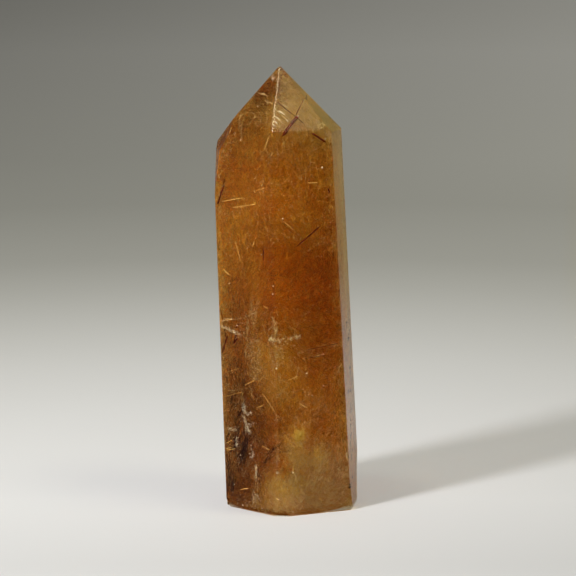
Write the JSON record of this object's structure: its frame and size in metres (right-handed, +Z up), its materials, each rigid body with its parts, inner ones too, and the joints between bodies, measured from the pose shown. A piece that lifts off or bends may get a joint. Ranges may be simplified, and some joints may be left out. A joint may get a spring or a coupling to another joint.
{
  "type": "rutilated quartz point",
  "caption": "Free-standing hand-polished quartz crystal tower: a tapering six-sided prism with a faceted pointed tip, a flat sawn foot and golden rutile needles inside.",
  "frame": {"origin": "middle of the outer box at the flat foot that the crystal stands on", "axes": "+Z up along the prism to the tip, -Y to the front edge between the two widest visible faces, +X to the right; the longest extent is along Z"},
  "size_m": [0.0322, 0.0296, 0.0997],
  "materials": {
    "rutilated_quartz": "polished ochre-brown quartz, see-through at the skin and filled with fine golden and red-brown rutile needles, frosty veils and smoky zones"
  },
  "bodies": {
    "root": {"quartz_point": "rutilated_quartz"}
  },
  "joints": []
}
